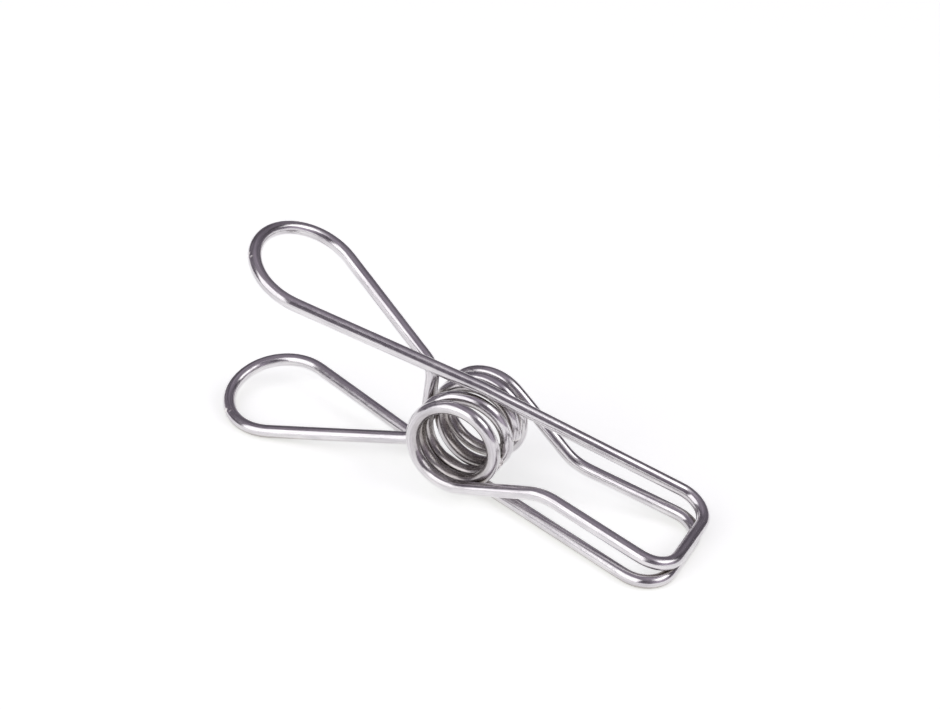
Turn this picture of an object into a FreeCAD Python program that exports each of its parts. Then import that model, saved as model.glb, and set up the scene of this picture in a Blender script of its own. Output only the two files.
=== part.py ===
"""Wire clothes peg bent from one length of round stainless wire.

Two levers cross at a coil spring: each is a teardrop finger loop, a handle bar that passes over (or
under) the coil, a round-cornered jaw frame and a cranked arm that runs on into the coil. They are
alike but for a small hand-bent difference in the set of their finger loops. The wire's two free ends
return from the finger loops and hook round the middle of the coil.

Frame: origin at the middle of the coil, on its axis. +Y runs along the coil's axis, +X to the jaws
and +Z up from the surface that the peg lies on. Millimetres.
"""
import FreeCAD, Part
import math
import os

V = FreeCAD.Vector

# ---- driving dimensions --------------------------------------------------------------------------
WIRE_D = 1.6                 # round wire
COIL_R = 5.1                 # coil's centreline radius
TURN_PITCH = 1.66            # outer turns lie almost wire on wire
HOOK_Y = 1.0                 # each hooked end's distance from the middle, on the handle side
HOOK_TO_TURN = 1.8           # from a hooked end to the turn beside it, on the handle side
HOOK_END_Y = 1.76            # where the hooked end stops, on the jaw side
HOOK_STOP_ANGLE = 8.0        # the hooked end stops this many degrees short of the jaw side
SEAM_ANGLE = 1.0             # each stretch of coil ends this short of the next, so that they can part

TIP_X = 28.95                # jaw tip bar, from the coil's axis
TIP_Z = 0.83                 # half the spacing of the two tip bars, closed: 0.06 mm short of touching
NEAR_RAIL_Y = -6.3           # jaw frame's cranked side at the tip
FAR_RAIL_Y = 8.45            # jaw frame's straight side at the tip
TIP_CORNER_R = 3.2
CRANK = V(12.2, -5.25, 1.15) # where the arm from the coil bends into the jaw rail
CRANK_R = 6.3
ARM_LEAD = 2.2               # straight run before the arm turns out of the coil's slant
ARM_LEAD_R = 9.0

BAR_OVER_COIL = V(0, -0.65, 6.77)      # handle bar crosses just above the coil
BAR_BEND_R = 25.0
UPPER_LOOP_NEAR = V(-28.7, -10.7, 11.5)    # corner that the finger loop's first bend rounds off
UPPER_LOOP_FAR = V(-33.1, 8.1, 13.2)       # corner that its second bend rounds off
UPPER_LOOP_NEAR_R = 6.8
LOWER_LOOP_NEAR = V(-30.4, -10.1, 10.9)    # the same on the lower lever, before it is turned over
LOWER_LOOP_FAR = V(-33.0, 7.6, 16.0)
LOWER_LOOP_NEAR_R = 6.5
RETURN_CORNER_X = -6.2       # the return leg dives here, under its own handle bar
RETURN_CORNER_Z = 6.05
RETURN_CORNER_R = 2.1

# ---- worked out ----------------------------------------------------------------------------------
WIRE_R = WIRE_D / 2
HANDLE_TURN_Y = HOOK_Y + HOOK_TO_TURN            # crossover's end, on the handle side
LEAD_SLOPE = TURN_PITCH / (2 * math.pi * COIL_R)
QUARTER_TURN = 90.0
ANGLE_TOLERANCE = 1e-6
HALF_TURN = 180.0
WHOLE_TURN = 360.0


def around(angle, y, radius=COIL_R):
    """Point round the coil: 0 degrees is the jaw side, 90 is underneath, 180 the handle side."""
    a = math.radians(angle)
    return V(radius * math.cos(a), y, -radius * math.sin(a))


def turn_y(angle):
    """Height along the coil's axis of the continuous wire at an angle counted from the middle."""
    size = abs(angle)
    if size <= HALF_TURN:
        y = HANDLE_TURN_Y * size / HALF_TURN
    else:
        y = HANDLE_TURN_Y + TURN_PITCH * (size - HALF_TURN) / WHOLE_TURN
    return math.copysign(y, angle)


def half_turn(point):
    """A half turn about X lays one lever's line over the other's."""
    return V(point.x, -point.y, -point.z)


def line(start, end):
    return Part.LineSegment(start, end).toShape()


def bend(before, corner, after, radius):
    """Arc of the given radius that rounds off a corner: start, end and edge."""
    back = (before - corner).normalize()
    on = (after - corner).normalize()
    half_angle = back.getAngle(on) / 2
    reach = radius / math.tan(half_angle)
    middle_way = (back + on).normalize()
    centre = corner + middle_way * (radius / math.sin(half_angle))
    start = corner + back * reach
    end = corner + on * reach
    edge = Part.Arc(start, centre - middle_way * radius, end).toShape()
    return start, end, edge


def bend_reach(before, corner, after):
    """Length of corner taken up per millimetre of bend radius."""
    turn = (corner - before).getAngle(after - corner)
    return math.tan(turn / 2)


def helix(first_angle, last_angle, first_y, last_y):
    """Run round the coil from one angle and height to another, as arcs of about a quarter turn."""
    span = last_angle - first_angle
    arcs = math.ceil(abs(span) / QUARTER_TURN - ANGLE_TOLERANCE)
    points = []
    for i in range(2 * arcs + 1):
        share = i / (2 * arcs)
        points.append(around(first_angle + span * share, first_y + (last_y - first_y) * share))
    return [Part.Arc(*points[2 * i:2 * i + 3]).toShape() for i in range(arcs)]


def wire_solid(edges):
    """Round wire along the edges."""
    path = Part.Wire(edges)
    first = edges[0]
    start = first.valueAt(first.FirstParameter)
    way = first.tangentAt(first.FirstParameter)
    ring = Part.Wire(Part.makeCircle(WIRE_R, start, way))
    return path.makePipeShell([ring], True, False)


# ---- one lever's centreline ----------------------------------------------------------------------
def crank_tangent():
    """Angle at which the arm leaves the coil, counted from the coil's middle."""
    reach = math.hypot(CRANK.x, CRANK.z)
    lift = math.degrees(math.atan2(CRANK.z, CRANK.x))
    below = math.degrees(math.acos(COIL_R / reach)) - lift
    return below - 2 * WHOLE_TURN


def return_tangent():
    """Angle round the coil at which the return leg comes down onto it."""
    reach = math.hypot(RETURN_CORNER_X, RETURN_CORNER_Z)
    corner = math.degrees(math.atan2(-RETURN_CORNER_Z, RETURN_CORNER_X))
    return corner - math.degrees(math.acos(COIL_R / reach))


COIL_END_ANGLE = crank_tangent()


def lever_edges(loop_near, loop_far, loop_near_r):
    """Centreline of a lever as if it were the upper one, in named stretches, from coil to hooked end."""
    coil_point = around(COIL_END_ANGLE, turn_y(COIL_END_ANGLE))
    out = V(math.sin(math.radians(COIL_END_ANGLE)), -LEAD_SLOPE, math.cos(math.radians(COIL_END_ANGLE)))
    lead = coil_point + out.normalize() * ARM_LEAD
    near_corner = V(TIP_X, NEAR_RAIL_Y, TIP_Z)
    far_corner = V(TIP_X, FAR_RAIL_Y, TIP_Z)

    touch_angle = return_tangent()
    hook_lead = (HOOK_END_Y - HOOK_Y) / HALF_TURN
    touch_y = -HOOK_Y - hook_lead * (-HALF_TURN - touch_angle)
    touch = around(touch_angle, touch_y)
    down = math.hypot(RETURN_CORNER_X - touch.x, RETURN_CORNER_Z - touch.z)
    hook_slope = math.degrees(hook_lead) / COIL_R
    dive = V(RETURN_CORNER_X, touch_y + down * hook_slope, RETURN_CORNER_Z)

    near_take = loop_near_r * bend_reach(BAR_OVER_COIL, loop_near, loop_far)
    far_take = (loop_far - loop_near).Length - near_take
    loop_far_r = far_take / bend_reach(loop_near, loop_far, dive)

    lead_in, lead_out, lead_bend = bend(coil_point, lead, CRANK, ARM_LEAD_R)
    crank_in, crank_out, crank_bend = bend(lead, CRANK, near_corner, CRANK_R)
    near_in, near_out, near_bend = bend(CRANK, near_corner, far_corner, TIP_CORNER_R)
    far_in, far_out, far_bend = bend(near_corner, far_corner, BAR_OVER_COIL, TIP_CORNER_R)
    over_in, over_out, over_bend = bend(far_corner, BAR_OVER_COIL, loop_near, BAR_BEND_R)
    loop_in, _, loop_near_bend = bend(BAR_OVER_COIL, loop_near, loop_far, loop_near_r)
    _, loop_out, loop_far_bend = bend(loop_near, loop_far, dive, loop_far_r)
    dive_in, dive_out, dive_bend = bend(loop_far, dive, touch, RETURN_CORNER_R)
    stop_angle = -WHOLE_TURN + HOOK_STOP_ANGLE
    stop_y = touch_y + hook_lead * (stop_angle - touch_angle)

    return {
        "spring_arm": [line(coil_point, lead_in), lead_bend, line(lead_out, crank_in)],
        "jaw_cranked_rail": [crank_bend, line(crank_out, near_in)],
        "jaw_tip": [near_bend, line(near_out, far_in), far_bend],
        "jaw_straight_rail": [line(far_out, over_in)],
        "handle_bar": [over_bend, line(over_out, loop_in)],
        "finger_loop": [loop_near_bend, loop_far_bend],
        "return_leg": [line(loop_out, dive_in)],
        "hooked_end": [dive_bend, line(dive_out, touch)] + helix(touch_angle, stop_angle, touch_y, stop_y),
    }


def coil_edges():
    """Continuous coil wire in six stretches from the upper lever's end to the lower lever's."""
    ends = [COIL_END_ANGLE, -WHOLE_TURN, -HALF_TURN, 0, HALF_TURN, WHOLE_TURN, -COIL_END_ANGLE]
    names = ["coil_near_turn", "coil_near_half_turn", "coil_near_crossover",
             "coil_far_crossover", "coil_far_half_turn", "coil_far_turn"]
    stretches = {}
    for i, name in enumerate(names):
        first = ends[i] + SEAM_ANGLE
        last = ends[i + 1] - SEAM_ANGLE
        stretches[name] = helix(first, last, turn_y(first), turn_y(last))
    return stretches


# ---- resting attitude ----------------------------------------------------------------------------
def resting_tilt(lower_lever):
    """Turn about Y, in degrees, that lays the lower lever's tip bar and finger loop level."""
    steepest = 0.0
    for edge in lower_lever["finger_loop"]:
        for point in edge.discretize(60):
            low = half_turn(point)
            steepest = max(steepest, math.atan2(-TIP_Z - low.z, TIP_X - low.x))
    return math.degrees(steepest)


def build():
    os.makedirs("parts", exist_ok=True)
    upper_lever = lever_edges(UPPER_LOOP_NEAR, UPPER_LOOP_FAR, UPPER_LOOP_NEAR_R)
    lower_lever = lever_edges(LOWER_LOOP_NEAR, LOWER_LOOP_FAR, LOWER_LOOP_NEAR_R)
    tilt = resting_tilt(lower_lever)
    solids = {}
    for name, edges in upper_lever.items():
        solids["upper_" + name] = wire_solid(edges)
    for name, edges in lower_lever.items():
        turned_over = wire_solid(edges)
        turned_over.rotate(V(0, 0, 0), V(1, 0, 0), HALF_TURN)
        solids["lower_" + name] = turned_over
    for name, edges in coil_edges().items():
        solids[name] = wire_solid(edges)
    for name, solid in solids.items():
        solid.rotate(V(0, 0, 0), V(0, 1, 0), tilt)
        solid.exportStep("parts/" + name + ".step")


build()
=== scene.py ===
"""Looks of the wire clothes peg: one length of bright-drawn stainless wire on a white studio sweep.

The wire's centreline is bent up from the same sizes as the CAD's, eased where its bends run into its
straights, and swept into one tube. The tube is cut where the CAD is cut, so the pieces meet without a
mark. The levers' pieces ride on their lever, and the coil's pieces stay fixed where they are made.

Frame: origin at the middle of the coil, on its axis. +Y runs along that axis, +X to the jaws and +Z up.
The wire is worked out in millimetres and its meshes are in metres.
"""
import math

import bpy
import numpy as np
from mathutils import Matrix, Vector


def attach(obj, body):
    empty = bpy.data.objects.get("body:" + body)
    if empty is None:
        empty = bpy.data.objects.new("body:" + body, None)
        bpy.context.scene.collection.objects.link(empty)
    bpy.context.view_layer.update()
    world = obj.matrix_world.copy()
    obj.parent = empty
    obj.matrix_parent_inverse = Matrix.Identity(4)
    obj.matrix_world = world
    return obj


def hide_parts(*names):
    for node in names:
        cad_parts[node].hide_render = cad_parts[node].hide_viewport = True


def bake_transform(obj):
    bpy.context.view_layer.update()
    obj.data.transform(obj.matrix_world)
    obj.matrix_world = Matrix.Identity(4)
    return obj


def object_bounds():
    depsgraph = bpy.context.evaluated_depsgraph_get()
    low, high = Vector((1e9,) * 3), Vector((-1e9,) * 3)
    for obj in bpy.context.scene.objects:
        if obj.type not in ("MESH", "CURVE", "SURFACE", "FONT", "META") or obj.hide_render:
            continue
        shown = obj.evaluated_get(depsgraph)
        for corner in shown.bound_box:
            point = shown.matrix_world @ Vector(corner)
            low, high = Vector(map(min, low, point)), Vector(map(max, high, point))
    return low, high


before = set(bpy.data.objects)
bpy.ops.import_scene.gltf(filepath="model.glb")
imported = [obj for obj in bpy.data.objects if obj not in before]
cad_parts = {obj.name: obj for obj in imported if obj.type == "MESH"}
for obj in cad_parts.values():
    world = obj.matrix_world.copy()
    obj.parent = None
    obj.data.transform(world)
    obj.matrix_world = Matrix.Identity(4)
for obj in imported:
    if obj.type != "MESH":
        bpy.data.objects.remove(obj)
cad_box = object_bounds()

# ---- the wire's sizes, in millimetres ------------------------------------------------------------
MM = 0.001
WIRE_R = 0.8
COIL_R = 5.1                # coil's centreline radius
TURN_PITCH = 1.66           # outer turns lie almost wire on wire
HANDLE_TURN_Y = 2.8         # from the middle to the turn beside a hooked end, on the handle side
HOOK_Y = 1.0                # each hooked end's distance from the middle, on the handle side
HOOK_END_Y = 1.76           # where the hooked end stops, on the jaw side
HOOK_STOP_ANGLE = 8.0       # the hooked end stops this many degrees short of the jaw side

TIP_X = 28.95               # jaw tip bar, from the coil's axis
TIP_Z = 0.83                # half the spacing of the two tip bars, closed
TIP_CORNER_R = 3.2
NEAR_CORNER = np.array([TIP_X, -6.3, TIP_Z])
FAR_CORNER = np.array([TIP_X, 8.45, TIP_Z])
CRANK = np.array([12.2, -5.25, 1.15])       # where the arm from the coil bends into the jaw rail
CRANK_R = 6.3
ARM_LEAD = 2.2              # straight run before the arm turns out of the coil's slant
ARM_LEAD_R = 9.0

OVER_COIL = np.array([0.0, -0.65, 6.77])    # the handle bar crosses just above the coil
BAR_BEND_R = 25.0
# each finger loop: the corners that its first and second bends round off, and the first bend's radius
UPPER_LOOP = (np.array([-28.7, -10.7, 11.5]), np.array([-33.1, 8.1, 13.2]), 6.8)
LOWER_LOOP = (np.array([-30.4, -10.1, 10.9]), np.array([-33.0, 7.6, 16.0]), 6.5)
RETURN_CORNER_X = -6.2      # the return leg dives here, under its own handle bar
RETURN_CORNER_Z = 6.05
RETURN_CORNER_R = 2.1
HALF_TURN = 180.0
WHOLE_TURN = 360.0

# ---- how finely the wire is modelled, in millimetres ---------------------------------------------
SAMPLE_STEP = 0.05          # along the centreline before it is eased
EASE = 0.45                 # spread of the bell that runs bends into straights
EASE_REACH = 4              # the bell is cut off at this many spreads
RING_STEP = 0.22            # between rings of the finished tube
RING_SIDES = 48
FINE_STEP = 0.05            # between rings at a tool mark or a cut end
FINE_REACH = 0.8            # how far the finer rings reach to each side of one
SAME_RING = 0.005           # rings nearer than this are one ring

# ---- small marks left by the making of the peg, in millimetres -----------------------------------
# each: a point near the centreline, the way out to the wire's surface, length along, width round, depth
TOOL_MARKS = [
    ((-25.95, -5.9, 17.97), (-0.55, -0.80, 0.24), 0.16, 0.34, 0.10),
    ((-25.60, -6.4, 17.75), (-0.30, -0.60, 0.74), 0.11, 0.26, 0.05),
    ((-31.29, -3.05, -7.01), (-0.55, -0.80, 0.24), 0.17, 0.36, 0.11),
    ((-31.05, -3.9, -7.10), (-0.45, -0.40, 0.80), 0.12, 0.24, 0.05),
]
LIP = 0.35                  # share of a mark's depth thrown up round it
LIP_REACH = 2.0             # how many times wider than the dent the lip is
WORN_REACH = 1.3            # and how many times wider the bared metal is
CUT_CHAMFER = 0.09          # rolled-over edge of the sheared wire ends
CUT_WEAR = 0.18             # bared metal fades over this length from a sheared end
END_RINGS = (0.86, 0.7, 0.52, 0.34, 0.16)   # rings across a sheared face, in shares of its radius
TEAR_TURN = 0.6             # radians round the wire from its first side to the torn half of the face
TEAR_HEIGHT = 0.05          # ridges on the torn half
TEAR_RIDGES = 9.0           # radians of ridge from the face's middle to its edge
TEAR_CURL = 2.0             # and how much of that curves round the middle
SHEAR_SLANT = 0.10          # the face slants by this much from its middle to its edge
SHEAR_HOLLOW = 0.05         # and is this much hollow

# ---- painted shade inside the coil, in millimetres -----------------------------------------------
BORE_FULL = 0.15            # wire this near to the coil's radius is wholly part of a turn
BORE_NONE = 0.45            # and this far from it is not part of one
BORE_REACH = 5.4            # along the coil's axis, the painted shade is gone this far from the middle
BORE_FADE = 1.9             # and fades over this length up to there
BORE_SPREAD = 0.25          # how far it creeps round from the bore's side, in wire radii

# ---- the steel -----------------------------------------------------------------------------------
PALE_STEEL = (0.66, 0.635, 0.66, 1)
BRIGHT_STEEL = (0.82, 0.80, 0.81, 1)
BARED_STEEL = (0.95, 0.93, 0.90, 1)
# warm brown painted on as shade in crevices and inside the coil
PAINTED_SHADE_BROWN = (0.20, 0.17, 0.14, 1)
NOISE_ROUGHNESS = 0.6
PAINTED_SHADE_REACH = 0.0035        # metres over which neighbouring wire casts the painted shade
SHELTER_SAMPLES = 12
WHOLE = (0.0, 1.0)
NOISE_SPAN = (0.3, 0.7)     # most of a noise pattern's values lie between these
LINE_SHADE = (0.86, 1.0)
FINE_LINE_SHADE = (0.9, 1.04)
SHELTER_SPAN = (0.15, 0.64)  # ambient occlusion deep in a crevice and on open wire
# painted shade: how much of the dark brown the crevices take, from deep to open
CREVICE_PAINTED_SHADE = (0.95, 0.0)
CLOUD_SPAN = (0.25, 0.75)
# painted shade on the bore's side, patchy with the cloud pattern
BORE_PAINTED_SHADE = (0.78, 0.42)
SCUFF_SPAN = (0.35, 0.7)
SCUFF_ROUGHNESS = (0.12, 0.25)
SPECK_SPAN = (0.66, 0.74)   # only the noise's highest peaks are specks
SPECK_ROUGHNESS = (0.0, 0.12)
WEAR_ROUGHNESS = 0.25
PAINTED_SHADE_ROUGHNESS = 0.12
FINE_LINE_HEIGHT = 0.5      # this and the specks' height are in shares of the drawing lines'
WEAR_SPECK_HEIGHT = 1.5
RELIEF_STRENGTH = 0.3
RELIEF_DEPTH = 0.00002      # metres

# ---- the studio, in metres and degrees -----------------------------------------------------------
VIEW_WAY = Vector((-0.3624, 0.7682, -0.5278))     # the camera looks this way
VIEW_RIGHT = Vector((0.8870, 0.4582, 0.0578))     # and this is the picture's right
CAMERA_AT = Vector((78.76, -168.08, 125.56)) * MM
LENS_MM = 72.9
SENSOR_MM = 36.0
CLIP = (0.005, 20.0)
FLOOR_HALF = 3.0
FLOOR_COLOUR = (0.9, 0.9, 0.9, 1)
FLOOR_ROUGHNESS = 0.9
FLOOR_GLOW_COLOUR = (0.975, 1.0, 0.97, 1)
FLOOR_GLOW = 0.55
LIGHT_WAY_OFF = 1.8         # from the object to the softboxes
# each: name, compass direction, width, height and brightness as seen in the wire
SOFTBOXES = [
    ("key_softbox", (-19, 30), 1.86, 1.80, 1.38),
    ("key_spill", (-19, 30), 2.15, 2.25, 0.40),
    ("side_softbox", (100, 44), 1.31, 0.80, 1.35),
    ("side_spill", (100, 46), 1.45, 1.15, 0.42),
]
ROOM_TINT = (1.0, 0.89, 1.06, 1)
ROOM_BRIGHTNESS = (0.08, 0.25)
CLUTTER_SPAN = (0.35, 0.65)
CLUTTER_SCALE = 2.6
CLUTTER_DETAIL = 3.0
# each: compass direction, the cosines at which the glow starts and is full, and its brightness
GLOWS = [((0, 90), (0.6, 1.0), 0.16), ((80, 12), (0.8, 1.0), 0.30)]
CAMERA_WHITE = (1, 1, 1, 1)


# ---- the centreline ------------------------------------------------------------------------------
def unit(v):
    return v / np.linalg.norm(v)


def around(angle, y, radius=COIL_R):
    """Point round the coil: 0 degrees is the jaw side, 90 is underneath, 180 the handle side."""
    a = math.radians(angle)
    return np.array([radius * math.cos(a), y, -radius * math.sin(a)])


def turn_y(angle):
    """Height along the coil's axis of the continuous wire at an angle counted from the middle."""
    size = abs(angle)
    if size <= HALF_TURN:
        y = HANDLE_TURN_Y * size / HALF_TURN
    else:
        y = HANDLE_TURN_Y + TURN_PITCH * (size - HALF_TURN) / WHOLE_TURN
    return math.copysign(y, angle)


def straight(start, end):
    """Points from start up to, but without, end."""
    count = max(1, round(np.linalg.norm(end - start) / SAMPLE_STEP))
    share = np.arange(count)[:, None] / count
    return start + (end - start) * share


def bend(before, corner, after, radius):
    """Arc of the given radius that rounds off a corner: its start, its end and its points."""
    back = unit(before - corner)
    on = unit(after - corner)
    half = math.acos(np.clip(back @ on, -1, 1)) / 2
    start = corner + back * radius / math.tan(half)
    end = corner + on * radius / math.tan(half)
    centre = corner + unit(back + on) * radius / math.sin(half)
    across = unit(start - centre)
    sweep = math.pi - 2 * half
    count = max(2, round(sweep * radius / SAMPLE_STEP))
    turned = np.arange(count)[:, None] * sweep / count
    return start, end, centre + radius * (across * np.cos(turned) - back * np.sin(turned))


def bend_reach(before, corner, after):
    """Length of corner taken up per millimetre of bend radius."""
    turn = math.acos(np.clip(unit(corner - before) @ unit(after - corner), -1, 1))
    return math.tan(turn / 2)


def helix(first_angle, last_angle, first_y, last_y):
    """Points round the coil from the first angle up to, but without, the last."""
    length = math.radians(abs(last_angle - first_angle)) * COIL_R
    count = max(2, round(length / SAMPLE_STEP))
    return np.array([around(first_angle + (last_angle - first_angle) * share,
                            first_y + (last_y - first_y) * share)
                     for share in np.arange(count) / count])


def coil_end_angle():
    """Angle at which the arm leaves the coil, counted from the coil's middle."""
    reach = math.hypot(CRANK[0], CRANK[2])
    lift = math.degrees(math.atan2(CRANK[2], CRANK[0]))
    return math.degrees(math.acos(COIL_R / reach)) - lift - 2 * WHOLE_TURN


def return_angle():
    """Angle round the coil at which the return leg comes down onto it."""
    reach = math.hypot(RETURN_CORNER_X, RETURN_CORNER_Z)
    corner = math.degrees(math.atan2(-RETURN_CORNER_Z, RETURN_CORNER_X))
    return corner - math.degrees(math.acos(COIL_R / reach))


COIL_END_ANGLE = coil_end_angle()


def lever_stretches(loop_near, loop_far, loop_near_r):
    """Centreline of a lever as if it were the upper one, from the coil to the hooked end."""
    end_way = math.radians(COIL_END_ANGLE)
    slope = TURN_PITCH / (2 * math.pi * COIL_R)
    coil_point = around(COIL_END_ANGLE, turn_y(COIL_END_ANGLE))
    lead = coil_point + unit(np.array([math.sin(end_way), -slope, math.cos(end_way)])) * ARM_LEAD

    touch_angle = return_angle()
    hook_lead = (HOOK_END_Y - HOOK_Y) / HALF_TURN
    touch_y = -HOOK_Y - hook_lead * (-HALF_TURN - touch_angle)
    touch = around(touch_angle, touch_y)
    down = math.hypot(RETURN_CORNER_X - touch[0], RETURN_CORNER_Z - touch[2])
    dive_y = touch_y + down * math.degrees(hook_lead) / COIL_R
    dive = np.array([RETURN_CORNER_X, dive_y, RETURN_CORNER_Z])
    stop_angle = HOOK_STOP_ANGLE - WHOLE_TURN
    stop_y = touch_y + hook_lead * (stop_angle - touch_angle)

    near_take = loop_near_r * bend_reach(OVER_COIL, loop_near, loop_far)
    far_take = np.linalg.norm(loop_far - loop_near) - near_take
    loop_far_r = far_take / bend_reach(loop_near, loop_far, dive)

    lead_in, lead_out, lead_arc = bend(coil_point, lead, CRANK, ARM_LEAD_R)
    crank_in, crank_out, crank_arc = bend(lead, CRANK, NEAR_CORNER, CRANK_R)
    near_in, near_out, near_arc = bend(CRANK, NEAR_CORNER, FAR_CORNER, TIP_CORNER_R)
    far_in, far_out, far_arc = bend(NEAR_CORNER, FAR_CORNER, OVER_COIL, TIP_CORNER_R)
    over_in, over_out, over_arc = bend(FAR_CORNER, OVER_COIL, loop_near, BAR_BEND_R)
    loop_in, _, loop_near_arc = bend(OVER_COIL, loop_near, loop_far, loop_near_r)
    _, loop_out, loop_far_arc = bend(loop_near, loop_far, dive, loop_far_r)
    dive_in, dive_out, dive_arc = bend(loop_far, dive, touch, RETURN_CORNER_R)
    hook = helix(touch_angle, stop_angle, touch_y, stop_y)
    tail = around(stop_angle, stop_y)[None, :]
    return [
        ("spring_arm", [straight(coil_point, lead_in), lead_arc, straight(lead_out, crank_in)]),
        ("jaw_cranked_rail", [crank_arc, straight(crank_out, near_in)]),
        ("jaw_tip", [near_arc, straight(near_out, far_in), far_arc]),
        ("jaw_straight_rail", [straight(far_out, over_in)]),
        ("handle_bar", [over_arc, straight(over_out, loop_in)]),
        ("finger_loop", [loop_near_arc, loop_far_arc]),
        ("return_leg", [straight(loop_out, dive_in)]),
        ("hooked_end", [dive_arc, straight(dive_out, touch), hook, tail]),
    ]


def coil_stretches():
    """The coil's continuous wire in six stretches, from the upper lever's end to the lower's."""
    ends = [COIL_END_ANGLE, -WHOLE_TURN, -HALF_TURN, 0.0, HALF_TURN, WHOLE_TURN, -COIL_END_ANGLE]
    labels = ["coil_near_turn", "coil_near_half_turn", "coil_near_crossover",
              "coil_far_crossover", "coil_far_half_turn", "coil_far_turn"]
    return [(label, helix(first, last, turn_y(first), turn_y(last)))
            for label, first, last in zip(labels, ends, ends[1:])]


def whole_wire():
    """Each stretch's name, the cut lines' places along the points, and the one wire's points."""
    upper = [(label, np.concatenate(parts)) for label, parts in lever_stretches(*UPPER_LOOP)]
    lower = [(label, np.concatenate(parts)) for label, parts in lever_stretches(*LOWER_LOOP)]
    stretches = [("upper_" + label, points[::-1]) for label, points in reversed(upper)]
    stretches += coil_stretches()
    stretches += [("lower_" + label, points * np.array([1, -1, -1])) for label, points in lower]
    ends = np.cumsum([0] + [len(points) for _, points in stretches])
    level = np.concatenate([points for _, points in stretches])
    # the peg lies on its lower lever's tip bar and finger loop: all of it is tilted to level those two
    loop = dict(lower)["finger_loop"]
    tilt = np.arctan2(loop[:, 2] - TIP_Z, TIP_X - loop[:, 0]).max()
    c, s = math.cos(tilt), math.sin(tilt)
    tilted = np.column_stack([level[:, 0] * c + level[:, 2] * s, level[:, 1],
                              level[:, 2] * c - level[:, 0] * s])
    return [label for label, _ in stretches], ends, tilted


def ease(points):
    """The points with each bend run gently into the straights beside it."""
    reach = int(EASE_REACH * EASE / SAMPLE_STEP)
    offsets = np.arange(-reach, reach + 1) * SAMPLE_STEP
    weights = np.exp(-0.5 * (offsets / EASE) ** 2)
    weights /= weights.sum()
    before = 2 * points[0] - points[reach:0:-1]
    beyond = 2 * points[-1] - points[-2:-reach - 2:-1]
    longer = np.concatenate([before, points, beyond])
    return np.column_stack([np.convolve(longer[:, k], weights, "valid") for k in range(3)])


names, cuts, sharp_route = whole_wire()
route = ease(sharp_route)
run = np.concatenate([[0], np.cumsum(np.linalg.norm(np.diff(route, axis=0), axis=1))])
cut_runs = [run[min(cut, len(run) - 1)] for cut in cuts]


def along(distances):
    """Centreline points at the given distances along the wire."""
    return np.column_stack([np.interp(distances, run, route[:, k]) for k in range(3)])


def run_near(point):
    """Distance along the wire at which it passes nearest to a point."""
    return run[np.linalg.norm(route - np.array(point), axis=1).argmin()]


mark_runs = [run_near(mark[0]) for mark in TOOL_MARKS]


# ---- the tube's rings ----------------------------------------------------------------------------
def stretch_stations(first, last, fine):
    """Distances of one stretch's rings: evenly spaced, with the fine ones put in where they fall."""
    inside = fine[(fine > first + FINE_STEP / 2) & (fine < last - FINE_STEP / 2)]
    count = max(2, round((last - first) / RING_STEP))
    coarse = np.linspace(first, last, count + 1)
    if len(inside):
        clear = np.abs(coarse[:, None] - inside[None, :]).min(axis=1) > FINE_STEP / 2
        clear[0] = clear[-1] = True
        coarse = coarse[clear]
    rings = np.unique(np.concatenate([coarse, inside]))
    rings = rings[np.concatenate([[True], np.diff(rings) > SAME_RING])]
    rings[-1] = last
    return rings


def stations():
    """Distances of all rings, and each stretch's first and last ring."""
    fine = np.concatenate([np.arange(at - FINE_REACH, at + FINE_REACH, FINE_STEP)
                           for at in mark_runs + [0.0, run[-1]]])
    found, ends = [0.0], []
    for first, last in zip(cut_runs, cut_runs[1:]):
        begin = len(found) - 1
        found.extend(stretch_stations(first, last, fine)[1:])
        ends.append((begin, len(found) - 1))
    return np.array(found), ends


def ring_frames(points):
    """Tangent and two cross directions at each ring, carried along without twisting."""
    tangent = np.gradient(points, axis=0)
    tangent /= np.linalg.norm(tangent, axis=1)[:, None]
    side = np.zeros_like(tangent)
    side[0] = unit(np.cross(tangent[0], [0.0, 1.0, 0.0]))
    for i in range(1, len(points)):
        side[i] = unit(side[i - 1] - tangent[i] * (side[i - 1] @ tangent[i]))
    return tangent, side, np.cross(tangent, side)


places, spans = stations()
centres = along(places)
tangents, sides, ups = ring_frames(centres)
angles = np.linspace(0, 2 * math.pi, RING_SIDES, endpoint=False)
cosines = np.cos(angles)[None, :, None]
sines = np.sin(angles)[None, :, None]
outward = sides[:, None, :] * cosines + ups[:, None, :] * sines


# ---- the tube's surface --------------------------------------------------------------------------
def bell(distance, width):
    """1 in the middle, falling off to nothing on both sides."""
    return np.exp(-(distance / width) ** 2)


def surface():
    """Radius and wear at every ring and side, with the tool marks and rolled-over cut edges."""
    radius = np.full(outward.shape[:2], WIRE_R)
    wear = np.zeros(outward.shape[:2])
    for at, (_, way, length, width, depth) in zip(mark_runs, TOOL_MARKS):
        round_wire = np.arccos(np.clip(outward @ unit(np.array(way)), -1, 1)) * WIRE_R
        along_wire = (places - at)[:, None]
        dent = bell(along_wire, length) * bell(round_wire, width)
        lip = bell(along_wire, LIP_REACH * length) * bell(round_wire, LIP_REACH * width) - dent
        radius += depth * (LIP * lip - dent)
        bared = bell(along_wire, WORN_REACH * length) * bell(round_wire, WORN_REACH * width)
        wear = np.maximum(wear, bared)
    for from_end in (places, run[-1] - places):
        short = np.clip(1 - from_end / CUT_CHAMFER, 0, 1)
        radius -= (CUT_CHAMFER * (1 - np.sqrt(1 - short ** 2)))[:, None]
        wear = np.maximum(wear, bell(from_end, CUT_WEAR)[:, None])
    return radius, wear


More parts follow.
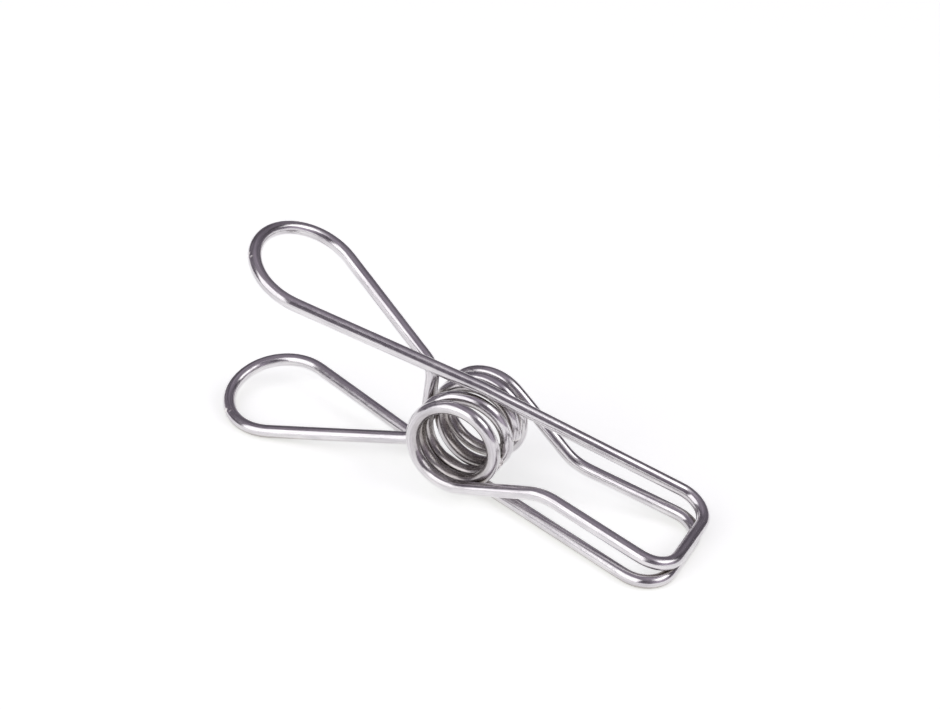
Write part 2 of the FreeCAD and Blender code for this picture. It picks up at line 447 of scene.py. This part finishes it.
def bore_side():
    """1 where the wire faces the inside of the coil, where shade is painted into the colour, and 0
    elsewhere.
    """
    from_axis = np.hypot(skin[:, :, 0], skin[:, :, 2])
    middle = np.hypot(centres[:, 0], centres[:, 2])[:, None]
    on_coil = np.clip((BORE_NONE - np.abs(middle - COIL_R)) / (BORE_NONE - BORE_FULL), 0, 1)
    from_ends = np.clip((BORE_REACH - np.abs(centres[:, 1])) / BORE_FADE, 0, 1)[:, None]
    return np.clip((middle - from_axis) / WIRE_R + BORE_SPREAD, 0, 1) * on_coil * from_ends


def skin_normals():
    """Outward normals of the whole tube, so that shading runs on from piece to piece."""
    lengthwise = np.gradient(skin, axis=0)
    crosswise = np.roll(skin, -1, axis=1) - np.roll(skin, 1, axis=1)
    square = np.cross(crosswise, lengthwise)
    return square / np.linalg.norm(square, axis=2)[:, :, None]


radii, worn = surface()
skin = centres[:, None, :] + outward * radii[:, :, None]
bored = bore_side()
normals = skin_normals()


def torn_height(angle, share):
    """How far a sheared face stands out at an angle round it and a share of its radius."""
    across = share * math.cos(angle - TEAR_TURN)
    ridge = TEAR_HEIGHT * math.sin(TEAR_RIDGES * across + TEAR_CURL * share) if across > 0 else 0.0
    return ridge - SHEAR_SLANT * across - SHEAR_HOLLOW * (1 - share)


def band(rim, next_rim):
    """Four-cornered faces between two rings of points."""
    n = RING_SIDES
    return [(rim[j], rim[(j + 1) % n], next_rim[(j + 1) % n], next_rim[j]) for j in range(n)]


def add_end(verts, faces, rim, ring, way):
    """Close the tube: one flat face at a cut line, a torn one at a real end of the wire."""
    if ring in (0, len(places) - 1):
        for share in END_RINGS:
            start = len(verts)
            for out, radius, angle in zip(outward[ring], radii[ring], angles):
                verts.append((centres[ring] + out * radius * share + way * torn_height(angle, share)) * MM)
            inner = list(range(start, start + RING_SIDES))
            faces.extend(band(rim, inner))
            rim = inner
    faces.append(tuple(rim))


def add_values(mesh, name, kind, field, values):
    """Store one value per point on the mesh for the material to read."""
    layer = mesh.attributes.new(name, kind, "POINT")
    layer.data.foreach_set(field, values.astype(np.float32).ravel())


def smooth_sides(mesh, side_count, side_normals):
    """Shade the tube's sides by its own normals, and leave the end faces flat."""
    mesh.polygons.foreach_set("use_smooth", [i < side_count for i in range(len(mesh.polygons))])
    corner = np.zeros(len(mesh.loops), dtype=np.int32)
    mesh.loops.foreach_get("vertex_index", corner)
    point_normals = np.zeros((len(mesh.vertices), 3))
    point_normals[:len(side_normals)] = side_normals
    corner_normals = point_normals[corner]
    corner_normals[4 * side_count:] = 0
    mesh.normals_split_custom_set([tuple(v) for v in corner_normals])


def wire_piece(name, first, last):
    """One closed stretch of wire between two rings."""
    rings = slice(first, last + 1)
    count = last + 1 - first
    on_side = count * RING_SIDES
    verts = list((skin[rings] * MM).reshape(-1, 3))
    rims = np.arange(on_side).reshape(count, RING_SIDES).tolist()
    faces = [face for rim, next_rim in zip(rims, rims[1:]) for face in band(rim, next_rim)]
    side_count = len(faces)
    add_end(verts, faces, rims[0], first, -tangents[first])
    faces[side_count:] = [face[::-1] for face in faces[side_count:]]    # the first end looks back
    add_end(verts, faces, rims[-1], last, tangents[last])

    mesh = bpy.data.meshes.new(name)
    mesh.from_pydata([tuple(v) for v in verts], [], faces)
    smooth_sides(mesh, side_count, normals[rings].reshape(-1, 3))
    unrolled = np.array(verts) / MM
    unrolled[:on_side] = np.column_stack([np.repeat(places[rings], RING_SIDES),
                                          np.tile(np.cos(angles), count) * WIRE_R,
                                          np.tile(np.sin(angles), count) * WIRE_R])
    add_values(mesh, "drawn", "FLOAT_VECTOR", "vector", unrolled)
    wear = np.ones(len(verts))
    wear[:on_side] = worn[rings].ravel()
    add_values(mesh, "wear", "FLOAT", "value", wear)
    bore = np.zeros(len(verts))
    bore[:on_side] = bored[rings].ravel()
    add_values(mesh, "bore", "FLOAT", "value", bore)
    mesh.update()
    piece = bpy.data.objects.new(name, mesh)
    bpy.context.collection.objects.link(piece)
    return piece


# ---- material ------------------------------------------------------------------------------------
class Nodes:
    """Short ways to add nodes to a tree, and to feed them with numbers or with other nodes."""

    def __init__(self, tree):
        self.tree = tree

    def add(self, kind, **settings):
        """A new node, with its properties set and its sockets fed by name."""
        made = self.tree.nodes.new(kind)
        for key, value in settings.items():
            if key in made.inputs:
                self.feed(made.inputs[key], value)
            else:
                setattr(made, key, value)
        return made

    def feed(self, socket, value):
        """Link the socket to another node's output, or set it to a number or a colour."""
        if isinstance(value, bpy.types.NodeSocket):
            self.tree.links.new(value, socket)
        else:
            socket.default_value = value

    def maths(self, kind, first, second):
        """Two numbers added, multiplied or otherwise worked together."""
        made = self.add("ShaderNodeMath", operation=kind)
        self.feed(made.inputs[0], first)
        self.feed(made.inputs[1], second)
        return made.outputs[0]

    def spread(self, value, span, result, ramp="SMOOTHSTEP"):
        """The value with the given span of it carried over to the span of results."""
        made = self.add("ShaderNodeMapRange", interpolation_type=ramp, Value=value)
        for key, setting in zip(("From Min", "From Max", "To Min", "To Max"), span + result):
            made.inputs[key].default_value = setting
        return made.outputs["Result"]

    def mixed(self, kind, share, first, second):
        """Two colours mixed. The colour sockets of a Mix node are its inputs 6 and 7 and output 2."""
        made = self.add("ShaderNodeMix", data_type="RGBA", blend_type=kind)
        self.feed(made.inputs[0], share)
        self.feed(made.inputs[6], first)
        self.feed(made.inputs[7], second)
        return made.outputs[2]

    def stored(self, name):
        """Node that reads a value stored on the mesh."""
        return self.add("ShaderNodeAttribute", attribute_name=name, attribute_type="GEOMETRY")

    def pattern(self, where, scale, stretch, detail):
        """Noise on the unrolled wire. Stretch below 1 draws it out along the wire."""
        squeeze = self.add("ShaderNodeVectorMath", operation="MULTIPLY")
        self.feed(squeeze.inputs[0], where)
        self.feed(squeeze.inputs[1], (stretch, 1.0, 1.0))
        noise = self.add("ShaderNodeTexNoise", Vector=squeeze.outputs[0], Scale=scale, Detail=detail,
                         Roughness=NOISE_ROUGHNESS)
        return noise.outputs["Fac"]


def painted_shade_share(nodes, bore, cloud):
    """How much painted shade the wire takes: in the crevices between neighbouring wire, found by ambient
    occlusion, and on the bore's side.
    """
    shelter = nodes.add("ShaderNodeAmbientOcclusion", samples=SHELTER_SAMPLES, Distance=PAINTED_SHADE_REACH)
    crevice = nodes.spread(shelter.outputs["AO"], SHELTER_SPAN, CREVICE_PAINTED_SHADE)
    inside = nodes.maths("MULTIPLY", bore, nodes.spread(cloud, CLOUD_SPAN, BORE_PAINTED_SHADE))
    return nodes.maths("MAXIMUM", crevice, inside)


def steel_colour(nodes, lines, fine_lines, cloud, painted_shade, wear):
    """Clouds of pale and bright steel, darker along the drawing lines, under painted shade in crevices and
    the bore, and bared marks.
    """
    clean = nodes.mixed("MIX", nodes.spread(cloud, NOISE_SPAN, WHOLE), PALE_STEEL, BRIGHT_STEEL)
    streak = nodes.maths("MULTIPLY", nodes.spread(lines, NOISE_SPAN, LINE_SHADE),
                         nodes.spread(fine_lines, NOISE_SPAN, FINE_LINE_SHADE))
    streaked = nodes.mixed("MULTIPLY", 1.0, clean, streak)
    # painted shade: the steel turns warm brown in crevices and on the bore's side
    shaded_steel = nodes.mixed("MIX", painted_shade, streaked, PAINTED_SHADE_BROWN)
    return nodes.mixed("MIX", wear, shaded_steel, BARED_STEEL)


def steel_roughness(nodes, scuffs, specks, painted_shade, wear):
    """Polished, but duller at scuffs, specks, bared marks and where shade is painted."""
    rough = nodes.maths("ADD", nodes.spread(scuffs, SCUFF_SPAN, SCUFF_ROUGHNESS),
                        nodes.spread(specks, SPECK_SPAN, SPECK_ROUGHNESS))
    rough = nodes.maths("ADD", rough, nodes.maths("MULTIPLY", wear, WEAR_ROUGHNESS))
    return nodes.maths("ADD", rough, nodes.maths("MULTIPLY", painted_shade, PAINTED_SHADE_ROUGHNESS))


def steel_relief(nodes, lines, fine_lines, specks, wear):
    """Shallow ridges along the drawing lines, and small bumps where the metal is bared."""
    worn_specks = nodes.maths("MULTIPLY", specks, nodes.maths("MULTIPLY", wear, WEAR_SPECK_HEIGHT))
    height = nodes.maths("ADD", lines, nodes.maths("MULTIPLY", fine_lines, FINE_LINE_HEIGHT))
    height = nodes.maths("ADD", height, worn_specks)
    relief = nodes.add("ShaderNodeBump", Strength=RELIEF_STRENGTH, Distance=RELIEF_DEPTH, Height=height)
    return relief.outputs["Normal"]


def stainless():
    """Bright-drawn stainless wire."""
    made = bpy.data.materials.new("polished_drawn_stainless")
    made.use_nodes = True
    nodes = Nodes(made.node_tree)
    where = nodes.stored("drawn").outputs["Vector"]
    wear = nodes.stored("wear").outputs["Fac"]
    bore = nodes.stored("bore").outputs["Fac"]
    lines = nodes.pattern(where, scale=6.0, stretch=0.03, detail=3.0)
    fine_lines = nodes.pattern(where, scale=19.0, stretch=0.012, detail=2.0)
    cloud = nodes.pattern(where, scale=0.9, stretch=0.25, detail=4.0)
    scuffs = nodes.pattern(where, scale=3.2, stretch=0.55, detail=6.0)
    specks = nodes.pattern(where, scale=11.0, stretch=0.8, detail=2.0)
    # share of painted shade, from crevices and the bore's side
    painted_shade = painted_shade_share(nodes, bore, cloud)
    shader = made.node_tree.nodes["Principled BSDF"]
    shader.inputs["Metallic"].default_value = 1.0
    nodes.feed(shader.inputs["Base Color"], steel_colour(nodes, lines, fine_lines, cloud, painted_shade, wear))
    nodes.feed(shader.inputs["Roughness"], steel_roughness(nodes, scuffs, specks, painted_shade, wear))
    nodes.feed(shader.inputs["Normal"], steel_relief(nodes, lines, fine_lines, specks, wear))
    return made


# ---- the pieces ----------------------------------------------------------------------------------
steel = stainless()
for name, (first, last) in zip(names, spans):
    piece = wire_piece(name + "_wire", first, last)
    piece.data.materials.append(steel)
    if name.startswith("upper_"):
        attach(piece, "upper_lever")
    elif name.startswith("lower_"):
        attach(piece, "lower_lever")
    else:
        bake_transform(piece)
    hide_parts(name)


# ---- studio --------------------------------------------------------------------------------------
def compass(azimuth, elevation):
    """Direction towards a point of the studio: azimuth 0 is towards -Y and 90 towards +X."""
    a, e = math.radians(azimuth), math.radians(elevation)
    return Vector((math.sin(a) * math.cos(e), -math.cos(a) * math.cos(e), math.sin(e)))


def camera():
    """The photograph's viewpoint."""
    data = bpy.data.cameras.new("camera")
    data.sensor_width = SENSOR_MM
    data.lens = LENS_MM
    data.clip_start, data.clip_end = CLIP
    made = bpy.data.objects.new("camera", data)
    back = -VIEW_WAY.normalized()
    up = back.cross(VIEW_RIGHT).normalized()
    turn = Matrix((up.cross(back), up, back)).transposed().to_4x4()
    made.matrix_world = Matrix.Translation(CAMERA_AT) @ turn
    bpy.context.collection.objects.link(made)
    bpy.context.scene.camera = made


def floor():
    """Pale sweep at the foot of the object, with a little glow of its own so that it stays white."""
    corners = [(x * FLOOR_HALF, y * FLOOR_HALF, cad_box[0].z)
               for x, y in ((-1, -1), (1, -1), (1, 1), (-1, 1))]
    mesh = bpy.data.meshes.new("floor")
    mesh.from_pydata(corners, [], [(0, 1, 2, 3)])
    made = bpy.data.objects.new("floor", mesh)
    bpy.context.collection.objects.link(made)
    material = bpy.data.materials.new("white_sweep")
    material.use_nodes = True
    shader = material.node_tree.nodes["Principled BSDF"]
    shader.inputs["Base Color"].default_value = FLOOR_COLOUR
    shader.inputs["Roughness"].default_value = FLOOR_ROUGHNESS
    shader.inputs["Emission Color"].default_value = FLOOR_GLOW_COLOUR
    shader.inputs["Emission Strength"].default_value = FLOOR_GLOW
    mesh.materials.append(material)


def softbox(name, direction, width, height, brightness):
    """Rectangular light that faces the object."""
    data = bpy.data.lights.new(name, "AREA")
    data.shape = "RECTANGLE"
    data.size = width
    data.size_y = height
    data.energy = brightness * width * height * math.pi
    made = bpy.data.objects.new(name, data)
    made.location = compass(*direction) * LIGHT_WAY_OFF
    made.rotation_mode = "QUATERNION"
    made.rotation_quaternion = (-made.location).to_track_quat("-Z", "Y")
    bpy.context.collection.objects.link(made)


def studio_world():
    """Dim lilac-grey room, lighter overhead and low on the right, that the camera itself sees as white."""
    world = bpy.data.worlds.new("studio")
    bpy.context.scene.world = world
    world.use_nodes = True
    nodes = Nodes(world.node_tree)
    way = nodes.add("ShaderNodeTexCoord").outputs["Generated"]
    clutter = nodes.add("ShaderNodeTexNoise", Vector=way, Scale=CLUTTER_SCALE, Detail=CLUTTER_DETAIL)
    light = nodes.spread(clutter.outputs["Fac"], CLUTTER_SPAN, ROOM_BRIGHTNESS, ramp="LINEAR")
    for direction, span, brightness in GLOWS:
        facing = nodes.add("ShaderNodeVectorMath", operation="DOT_PRODUCT")
        nodes.feed(facing.inputs[0], way)
        nodes.feed(facing.inputs[1], compass(*direction))
        glow = nodes.spread(facing.outputs["Value"], span, (0.0, brightness))
        light = nodes.maths("ADD", light, glow)
    room = world.node_tree.nodes["Background"]
    nodes.feed(room.inputs["Color"], ROOM_TINT)
    nodes.feed(room.inputs["Strength"], light)
    white = nodes.add("ShaderNodeBackground", Color=CAMERA_WHITE)
    path = nodes.add("ShaderNodeLightPath")
    mix = nodes.add("ShaderNodeMixShader", Fac=path.outputs["Is Camera Ray"])
    nodes.feed(mix.inputs[1], room.outputs[0])
    nodes.feed(mix.inputs[2], white.outputs[0])
    nodes.feed(world.node_tree.nodes["World Output"].inputs["Surface"], mix.outputs[0])


camera()
floor()
studio_world()
for box in SOFTBOXES:
    softbox(*box)
bpy.context.scene.view_settings.view_transform = "Standard"
